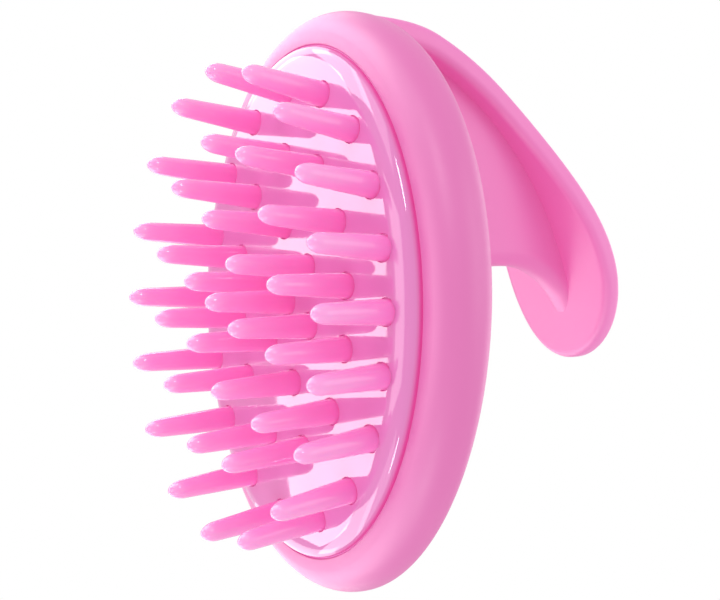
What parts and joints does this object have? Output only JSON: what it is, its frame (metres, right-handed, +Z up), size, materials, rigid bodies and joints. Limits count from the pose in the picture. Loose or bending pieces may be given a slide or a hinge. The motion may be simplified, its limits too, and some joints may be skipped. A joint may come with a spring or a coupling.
{
  "type": "scalp massager brush",
  "caption": "Palm-held oval shampoo brush: silicone massage fingers in a domed face plate, and a T-section hook handle arching over the back of its bowl.",
  "frame": {"origin": "on the ground under the middle of the brush, level with the tips of its fingers", "axes": "+Z up from the finger tips to the handle; +Y along the brush, to the end where the handle leaves the bowl; +X across it"},
  "size_m": [0.081, 0.112, 0.0963],
  "materials": {
    "satin_shell": "satin, soft to the touch",
    "gloss_plate": "mirror gloss",
    "silicone": "smooth, semi-gloss silicone",
    "inner_plastic": "plain moulded"
  },
  "bodies": {
    "brush": {"housing": "satin_shell", "handle": "satin_shell", "face_plate": "gloss_plate", "finger_mat": "silicone", "backing_plate": "inner_plastic"},
    "finger_01": {"finger_01": "silicone"},
    "finger_02": {"finger_02": "silicone"},
    "finger_03": {"finger_03": "silicone"},
    "finger_04": {"finger_04": "silicone"},
    "finger_05": {"finger_05": "silicone"},
    "finger_06": {"finger_06": "silicone"},
    "finger_07": {"finger_07": "silicone"},
    "finger_08": {"finger_08": "silicone"},
    "finger_09": {"finger_09": "silicone"},
    "finger_10": {"finger_10": "silicone"},
    "finger_11": {"finger_11": "silicone"},
    "finger_12": {"finger_12": "silicone"},
    "finger_13": {"finger_13": "silicone"},
    "finger_14": {"finger_14": "silicone"},
    "finger_15": {"finger_15": "silicone"},
    "finger_16": {"finger_16": "silicone"},
    "finger_17": {"finger_17": "silicone"},
    "finger_18": {"finger_18": "silicone"},
    "finger_19": {"finger_19": "silicone"},
    "finger_20": {"finger_20": "silicone"},
    "finger_21": {"finger_21": "silicone"},
    "finger_22": {"finger_22": "silicone"},
    "finger_23": {"finger_23": "silicone"},
    "finger_24": {"finger_24": "silicone"},
    "finger_25": {"finger_25": "silicone"},
    "finger_26": {"finger_26": "silicone"},
    "finger_27": {"finger_27": "silicone"},
    "finger_28": {"finger_28": "silicone"},
    "finger_29": {"finger_29": "silicone"},
    "finger_30": {"finger_30": "silicone"},
    "finger_31": {"finger_31": "silicone"},
    "finger_32": {"finger_32": "silicone"},
    "finger_33": {"finger_33": "silicone"},
    "finger_34": {"finger_34": "silicone"},
    "finger_35": {"finger_35": "silicone"},
    "finger_36": {"finger_36": "silicone"},
    "finger_37": {"finger_37": "silicone"}
  },
  "joints": [
    {"name": "bend_01", "type": "hinge", "parent": "brush", "child": "finger_01", "pos_m": [0, 0, 0.018], "axis": [1, 0, 0], "range_deg": [-20, 20], "stiffness_Nm_per_rad": 0.012},
    {"name": "bend_02", "type": "hinge", "parent": "brush", "child": "finger_02", "pos_m": [0.00682, 0.00374, 0.01808], "axis": [1, 0, 0], "range_deg": [-20, 20], "stiffness_Nm_per_rad": 0.012},
    {"name": "bend_03", "type": "hinge", "parent": "brush", "child": "finger_03", "pos_m": [0.00109, 0.01442, 0.01826], "axis": [1, 0, 0], "range_deg": [-20, 20], "stiffness_Nm_per_rad": 0.012},
    {"name": "bend_04", "type": "hinge", "parent": "brush", "child": "finger_04", "pos_m": [-0.00634, 0.00634, 0.0181], "axis": [1, 0, 0], "range_deg": [-20, 20], "stiffness_Nm_per_rad": 0.012},
    {"name": "bend_05", "type": "hinge", "parent": "brush", "child": "finger_05", "pos_m": [-0.00682, -0.00454, 0.01808], "axis": [1, 0, 0], "range_deg": [-20, 20], "stiffness_Nm_per_rad": 0.012},
    {"name": "bend_06", "type": "hinge", "parent": "brush", "child": "finger_06", "pos_m": [-0.00109, -0.01522, 0.01829], "axis": [1, 0, 0], "range_deg": [-20, 20], "stiffness_Nm_per_rad": 0.012},
    {"name": "bend_07", "type": "hinge", "parent": "brush", "child": "finger_07", "pos_m": [0.00634, -0.00714, 0.01811], "axis": [1, 0, 0], "range_deg": [-20, 20], "stiffness_Nm_per_rad": 0.012},
    {"name": "bend_08", "type": "hinge", "parent": "brush", "child": "finger_08", "pos_m": [0.01695, 0.00902, 0.01846], "axis": [1, 0, 0], "range_deg": [-20, 20], "stiffness_Nm_per_rad": 0.012},
    {"name": "bend_09", "type": "hinge", "parent": "brush", "child": "finger_09", "pos_m": [0.01203, 0.02074, 0.01872], "axis": [1, 0, 0], "range_deg": [-20, 20], "stiffness_Nm_per_rad": 0.012},
    {"name": "bend_10", "type": "hinge", "parent": "brush", "child": "finger_10", "pos_m": [0.00228, 0.02777, 0.01897], "axis": [1, 0, 0], "range_deg": [-20, 20], "stiffness_Nm_per_rad": 0.012},
    {"name": "bend_11", "type": "hinge", "parent": "brush", "child": "finger_11", "pos_m": [-0.00857, 0.02459, 0.01885], "axis": [1, 0, 0], "range_deg": [-20, 20], "stiffness_Nm_per_rad": 0.012},
    {"name": "bend_12", "type": "hinge", "parent": "brush", "child": "finger_12", "pos_m": [-0.01544, 0.01416, 0.01855], "axis": [1, 0, 0], "range_deg": [-20, 20], "stiffness_Nm_per_rad": 0.012},
    {"name": "bend_13", "type": "hinge", "parent": "brush", "child": "finger_13", "pos_m": [-0.01782, 0.00262, 0.01841], "axis": [1, 0, 0], "range_deg": [-20, 20], "stiffness_Nm_per_rad": 0.012},
    {"name": "bend_14", "type": "hinge", "parent": "brush", "child": "finger_14", "pos_m": [-0.01701, -0.00872, 0.01846], "axis": [1, 0, 0], "range_deg": [-20, 20], "stiffness_Nm_per_rad": 0.012},
    {"name": "bend_15", "type": "hinge", "parent": "brush", "child": "finger_15", "pos_m": [-0.01241, -0.02017, 0.0187], "axis": [1, 0, 0], "range_deg": [-20, 20], "stiffness_Nm_per_rad": 0.012},
    {"name": "bend_16", "type": "hinge", "parent": "brush", "child": "finger_16", "pos_m": [-0.00302, -0.0276, 0.01896], "axis": [1, 0, 0], "range_deg": [-20, 20], "stiffness_Nm_per_rad": 0.012},
    {"name": "bend_17", "type": "hinge", "parent": "brush", "child": "finger_17", "pos_m": [0.00798, -0.02506, 0.01887], "axis": [1, 0, 0], "range_deg": [-20, 20], "stiffness_Nm_per_rad": 0.012},
    {"name": "bend_18", "type": "hinge", "parent": "brush", "child": "finger_18", "pos_m": [0.01526, -0.01463, 0.01856], "axis": [1, 0, 0], "range_deg": [-20, 20], "stiffness_Nm_per_rad": 0.012},
    {"name": "bend_19", "type": "hinge", "parent": "brush", "child": "finger_19", "pos_m": [0.01782, -0.00272, 0.01841], "axis": [1, 0, 0], "range_deg": [-20, 20], "stiffness_Nm_per_rad": 0.012},
    {"name": "bend_20", "type": "hinge", "parent": "brush", "child": "finger_20", "pos_m": [0.02857, 0.00135, 0.01902], "axis": [1, 0, 0], "range_deg": [-20, 20], "stiffness_Nm_per_rad": 0.012},
    {"name": "bend_21", "type": "hinge", "parent": "brush", "child": "finger_21", "pos_m": [0.02681, 0.01375, 0.01914], "axis": [1, 0, 0], "range_deg": [-20, 20], "stiffness_Nm_per_rad": 0.012},
    {"name": "bend_22", "type": "hinge", "parent": "brush", "child": "finger_22", "pos_m": [0.02192, 0.02578, 0.01943], "axis": [1, 0, 0], "range_deg": [-20, 20], "stiffness_Nm_per_rad": 0.012},
    {"name": "bend_23", "type": "hinge", "parent": "brush", "child": "finger_23", "pos_m": [0.01349, 0.03557, 0.01981], "axis": [1, 0, 0], "range_deg": [-20, 20], "stiffness_Nm_per_rad": 0.012},
    {"name": "bend_24", "type": "hinge", "parent": "brush", "child": "finger_24", "pos_m": [0.00236, 0.04026, 0.02004], "axis": [1, 0, 0], "range_deg": [-20, 20], "stiffness_Nm_per_rad": 0.012},
    {"name": "bend_25", "type": "hinge", "parent": "brush", "child": "finger_25", "pos_m": [-0.00912, 0.03826, 0.01994], "axis": [1, 0, 0], "range_deg": [-20, 20], "stiffness_Nm_per_rad": 0.012},
    {"name": "bend_26", "type": "hinge", "parent": "brush", "child": "finger_26", "pos_m": [-0.0185, 0.03069, 0.01961], "axis": [1, 0, 0], "range_deg": [-20, 20], "stiffness_Nm_per_rad": 0.012},
    {"name": "bend_27", "type": "hinge", "parent": "brush", "child": "finger_27", "pos_m": [-0.02466, 0.02021, 0.01927], "axis": [1, 0, 0], "range_deg": [-20, 20], "stiffness_Nm_per_rad": 0.012},
    {"name": "bend_28", "type": "hinge", "parent": "brush", "child": "finger_28", "pos_m": [-0.02782, 0.00899, 0.01907], "axis": [1, 0, 0], "range_deg": [-20, 20], "stiffness_Nm_per_rad": 0.012},
    {"name": "bend_29", "type": "hinge", "parent": "brush", "child": "finger_29", "pos_m": [-0.02858, -0.00217, 0.01903], "axis": [1, 0, 0], "range_deg": [-20, 20], "stiffness_Nm_per_rad": 0.012},
    {"name": "bend_30", "type": "hinge", "parent": "brush", "child": "finger_30", "pos_m": [-0.02715, -0.01336, 0.01915], "axis": [1, 0, 0], "range_deg": [-20, 20], "stiffness_Nm_per_rad": 0.012},
    {"name": "bend_31", "type": "hinge", "parent": "brush", "child": "finger_31", "pos_m": [-0.02316, -0.0245, 0.01942], "axis": [1, 0, 0], "range_deg": [-20, 20], "stiffness_Nm_per_rad": 0.012},
    {"name": "bend_32", "type": "hinge", "parent": "brush", "child": "finger_32", "pos_m": [-0.01601, -0.03439, 0.0198], "axis": [1, 0, 0], "range_deg": [-20, 20], "stiffness_Nm_per_rad": 0.012},
    {"name": "bend_33", "type": "hinge", "parent": "brush", "child": "finger_33", "pos_m": [-0.0058, -0.04055, 0.0201], "axis": [1, 0, 0], "range_deg": [-20, 20], "stiffness_Nm_per_rad": 0.012},
    {"name": "bend_34", "type": "hinge", "parent": "brush", "child": "finger_34", "pos_m": [0.00586, -0.04053, 0.0201], "axis": [1, 0, 0], "range_deg": [-20, 20], "stiffness_Nm_per_rad": 0.012},
    {"name": "bend_35", "type": "hinge", "parent": "brush", "child": "finger_35", "pos_m": [0.01637, -0.03404, 0.01979], "axis": [1, 0, 0], "range_deg": [-20, 20], "stiffness_Nm_per_rad": 0.012},
    {"name": "bend_36", "type": "hinge", "parent": "brush", "child": "finger_36", "pos_m": [0.02375, -0.02328, 0.01939], "axis": [1, 0, 0], "range_deg": [-20, 20], "stiffness_Nm_per_rad": 0.012},
    {"name": "bend_37", "type": "hinge", "parent": "brush", "child": "finger_37", "pos_m": [0.02764, -0.01103, 0.01911], "axis": [1, 0, 0], "range_deg": [-20, 20], "stiffness_Nm_per_rad": 0.012}
  ]
}
